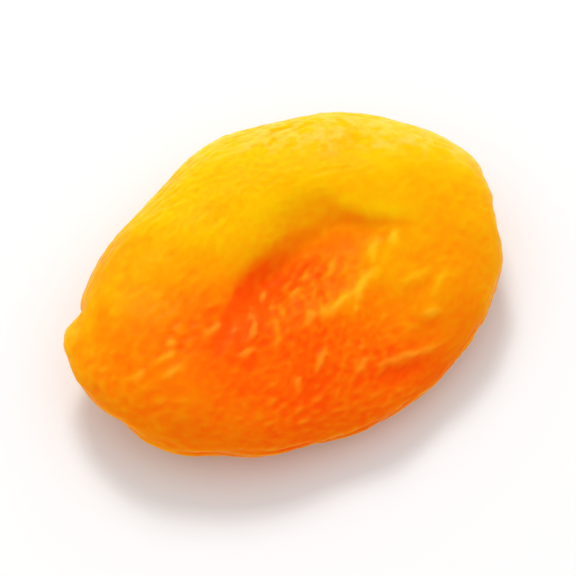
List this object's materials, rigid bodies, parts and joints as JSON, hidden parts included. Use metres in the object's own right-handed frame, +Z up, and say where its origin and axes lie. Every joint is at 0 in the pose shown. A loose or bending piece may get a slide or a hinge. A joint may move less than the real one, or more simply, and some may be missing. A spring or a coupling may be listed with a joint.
{
  "type": "dried apricot",
  "caption": "Whole pitted dried apricot: a flattened oval cushion with a plump rolled rim, a sunken wrinkled middle and a torn lip at the stem end.",
  "frame": {"origin": "on the surface that the fruit lies on, under the middle of its outline", "axes": "+X from the stem end to the tip, along the fruit's length; +Y towards the plumper side; +Z up, through the fruit's thickness"},
  "size_m": [0.046, 0.0338, 0.0118],
  "materials": {
    "flesh": "soft waxy sheen on finely wrinkled skin, golden yellow on the plump side and deeper orange in the hollow and on the thin side"
  },
  "bodies": {
    "root": {"dried_apricot": "flesh"}
  },
  "joints": []
}
